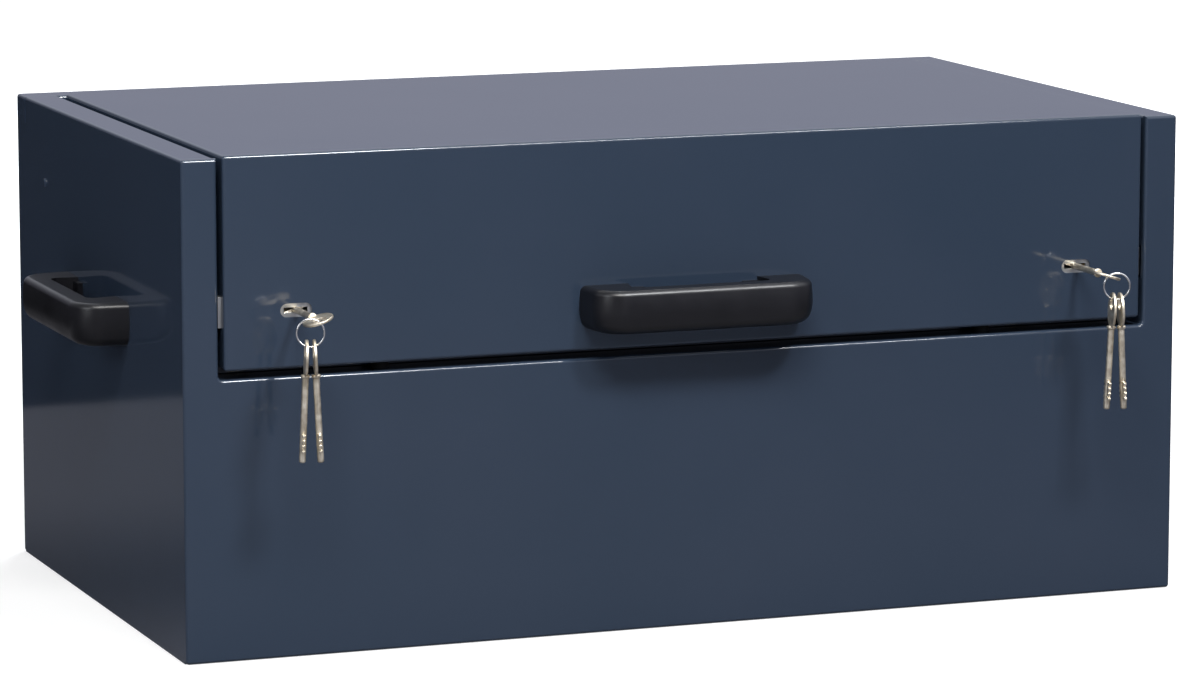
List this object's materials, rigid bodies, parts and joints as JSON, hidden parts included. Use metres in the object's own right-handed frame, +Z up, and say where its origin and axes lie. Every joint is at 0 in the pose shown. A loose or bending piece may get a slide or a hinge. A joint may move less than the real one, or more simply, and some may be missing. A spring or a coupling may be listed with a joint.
{
  "type": "lockable site tool chest",
  "caption": "Low steel site security box with an inset lift-up lid, a deep front apron with locks and hanging keys, gas struts and moulded carry handles.",
  "frame": {"origin": "middle of the flat underside of the case", "axes": "+X to the right seen from the front, +Y to the rear, +Z up; the locks and the front handle face -Y"},
  "size_m": [1.081, 0.6563, 0.4605],
  "materials": {
    "grey_paint": "smooth gloss powder coat, dark blue-grey",
    "black_moulding": "fine satin moulding",
    "rubber": "matt",
    "nickel": "nickel plate, slightly tarnished",
    "hard_chrome": "polished",
    "strut_black": "satin black lacquer",
    "brass": "stamped",
    "zinc_plate": "bright zinc plate"
  },
  "bodies": {
    "case": {"front_panel": "grey_paint", "rear_panel": "grey_paint", "left_side_panel": "grey_paint", "right_side_panel": "grey_paint", "base_pan": "grey_paint", "left_jamb": "grey_paint", "right_jamb": "grey_paint", "sill_channel": "grey_paint", "lid_buffers": "rubber", "hinge_case_leaf": "grey_paint", "hinge_pin": "zinc_plate", "case_strut_brackets": "grey_paint", "case_ball_studs": "zinc_plate", "bracket_rivets": "grey_paint", "left_handle": "black_moulding", "right_handle": "black_moulding", "side_handle_screws": "zinc_plate", "side_handle_nuts": "zinc_plate"},
    "lid": {"lid_skin": "grey_paint", "apron_liner": "grey_paint", "lid_ribs": "grey_paint", "hinge_lid_leaf": "grey_paint", "lid_strut_brackets": "zinc_plate", "lid_ball_studs": "zinc_plate", "front_handle": "black_moulding", "front_handle_screws": "zinc_plate", "front_handle_nuts": "zinc_plate", "left_lock_case": "zinc_plate", "left_lock_cover": "zinc_plate", "left_lock_screws": "zinc_plate", "left_lever_post": "zinc_plate", "right_lock_case": "zinc_plate", "right_lock_cover": "zinc_plate", "right_lock_screws": "zinc_plate", "right_lever_post": "zinc_plate"},
    "left_strut_rod": {"left_strut_rod": "hard_chrome", "left_strut_rod_fitting": "zinc_plate"},
    "left_strut_tube": {"left_strut_tube": "strut_black", "left_strut_tube_fitting": "zinc_plate"},
    "left_lock_levers": {"left_lock_levers": "brass"},
    "left_lock_bolt": {"left_lock_bolt": "zinc_plate"},
    "left_key": {"left_key": "nickel"},
    "left_key_ring": {"left_key_ring": "nickel"},
    "left_spare_key_a": {"left_spare_key_a": "nickel"},
    "left_spare_key_b": {"left_spare_key_b": "nickel"},
    "right_strut_rod": {"right_strut_rod": "hard_chrome", "right_strut_rod_fitting": "zinc_plate"},
    "right_strut_tube": {"right_strut_tube": "strut_black", "right_strut_tube_fitting": "zinc_plate"},
    "right_lock_levers": {"right_lock_levers": "brass"},
    "right_lock_bolt": {"right_lock_bolt": "zinc_plate"},
    "right_key": {"right_key": "nickel"},
    "right_key_ring": {"right_key_ring": "nickel"},
    "right_spare_key_a": {"right_spare_key_a": "nickel"},
    "right_spare_key_b": {"right_spare_key_b": "nickel"}
  },
  "joints": [
    {"name": "lid_hinge", "type": "hinge", "parent": "case", "child": "lid", "pos_m": [0, 0.247, 0.4525], "axis": [-1, 0, 0], "range_deg": [0, 80]},
    {"name": "left_strut_rod_pivot", "type": "hinge", "parent": "case", "child": "left_strut_rod", "pos_m": [-0.432, 0.20159, 0.25772], "axis": [-1, 0, 0], "range_deg": [0, 40]},
    {"name": "left_strut_tube_pivot", "type": "hinge", "parent": "lid", "child": "left_strut_tube", "pos_m": [-0.432, 0.04772, 0.4355], "axis": [-1, 0, 0], "range_deg": [-40, 0]},
    {"name": "left_key_turn", "type": "hinge", "parent": "lid", "child": "left_key", "pos_m": [-0.387, -0.2826, 0.3185], "axis": [0, -1, 0], "range_deg": [-18, 162]},
    {"name": "left_bolt_slide", "type": "slide", "parent": "lid", "child": "left_lock_bolt", "axis": [-1, 0, 0], "range_m": [-0.0015, 0.0135]},
    {"name": "left_levers_lift", "type": "hinge", "parent": "lid", "child": "left_lock_levers", "pos_m": [-0.3555, -0.28, 0.34], "axis": [0, 1, 0], "range_deg": [0, 5], "stiffness_Nm_per_rad": 0.1, "springref_deg": -20.05},
    {"name": "left_ring_swing", "type": "hinge", "parent": "left_key", "child": "left_key_ring", "pos_m": [-0.39605, -0.3566, 0.31556], "axis": [0, -1, 0], "range_deg": [-162, 18]},
    {"name": "left_spare_a_swing", "type": "hinge", "parent": "left_key_ring", "child": "left_spare_key_a", "pos_m": [-0.39946, -0.35578, 0.29651], "axis": [0.9724, -0.2334, 0], "range_deg": [-12, 12]},
    {"name": "left_spare_b_swing", "type": "hinge", "parent": "left_key_ring", "child": "left_spare_key_b", "pos_m": [-0.39265, -0.35742, 0.29651], "axis": [0.9724, -0.2334, 0], "range_deg": [-12, 12]},
    {"name": "right_strut_rod_pivot", "type": "hinge", "parent": "case", "child": "right_strut_rod", "pos_m": [0.432, 0.20159, 0.25772], "axis": [-1, 0, 0], "range_deg": [0, 40]},
    {"name": "right_strut_tube_pivot", "type": "hinge", "parent": "lid", "child": "right_strut_tube", "pos_m": [0.432, 0.04772, 0.4355], "axis": [-1, 0, 0], "range_deg": [-40, 0]},
    {"name": "right_key_turn", "type": "hinge", "parent": "lid", "child": "right_key", "pos_m": [0.387, -0.2826, 0.3185], "axis": [0, 1, 0], "range_deg": [-18, 162]},
    {"name": "right_bolt_slide", "type": "slide", "parent": "lid", "child": "right_lock_bolt", "axis": [1, 0, 0], "range_m": [-0.0015, 0.0135]},
    {"name": "right_levers_lift", "type": "hinge", "parent": "lid", "child": "right_lock_levers", "pos_m": [0.3555, -0.28, 0.34], "axis": [0, -1, 0], "range_deg": [0, 5], "stiffness_Nm_per_rad": 0.1, "springref_deg": -20.05},
    {"name": "right_ring_swing", "type": "hinge", "parent": "right_key", "child": "right_key_ring", "pos_m": [0.39605, -0.3566, 0.31556], "axis": [0, 1, 0], "range_deg": [-162, 18]},
    {"name": "right_spare_a_swing", "type": "hinge", "parent": "right_key_ring", "child": "right_spare_key_a", "pos_m": [0.39946, -0.35742, 0.29651], "axis": [0.9724, -0.2334, 0], "range_deg": [-12, 12]},
    {"name": "right_spare_b_swing", "type": "hinge", "parent": "right_key_ring", "child": "right_spare_key_b", "pos_m": [0.39265, -0.35578, 0.29651], "axis": [0.9724, -0.2334, 0], "range_deg": [-12, 12]}
  ],
  "couplings": [
    {"joint": "left_strut_rod_pivot", "follows": "lid_hinge", "ratio": 0.5},
    {"joint": "left_strut_tube_pivot", "follows": "lid_hinge", "ratio": -0.5},
    {"joint": "left_bolt_slide", "follows": "left_key_turn", "m_per_rad": 0.0047747},
    {"joint": "left_ring_swing", "follows": "left_key_turn", "ratio": -1},
    {"joint": "right_strut_rod_pivot", "follows": "lid_hinge", "ratio": 0.5},
    {"joint": "right_strut_tube_pivot", "follows": "lid_hinge", "ratio": -0.5},
    {"joint": "right_bolt_slide", "follows": "right_key_turn", "m_per_rad": 0.0047747},
    {"joint": "right_ring_swing", "follows": "right_key_turn", "ratio": -1}
  ]
}
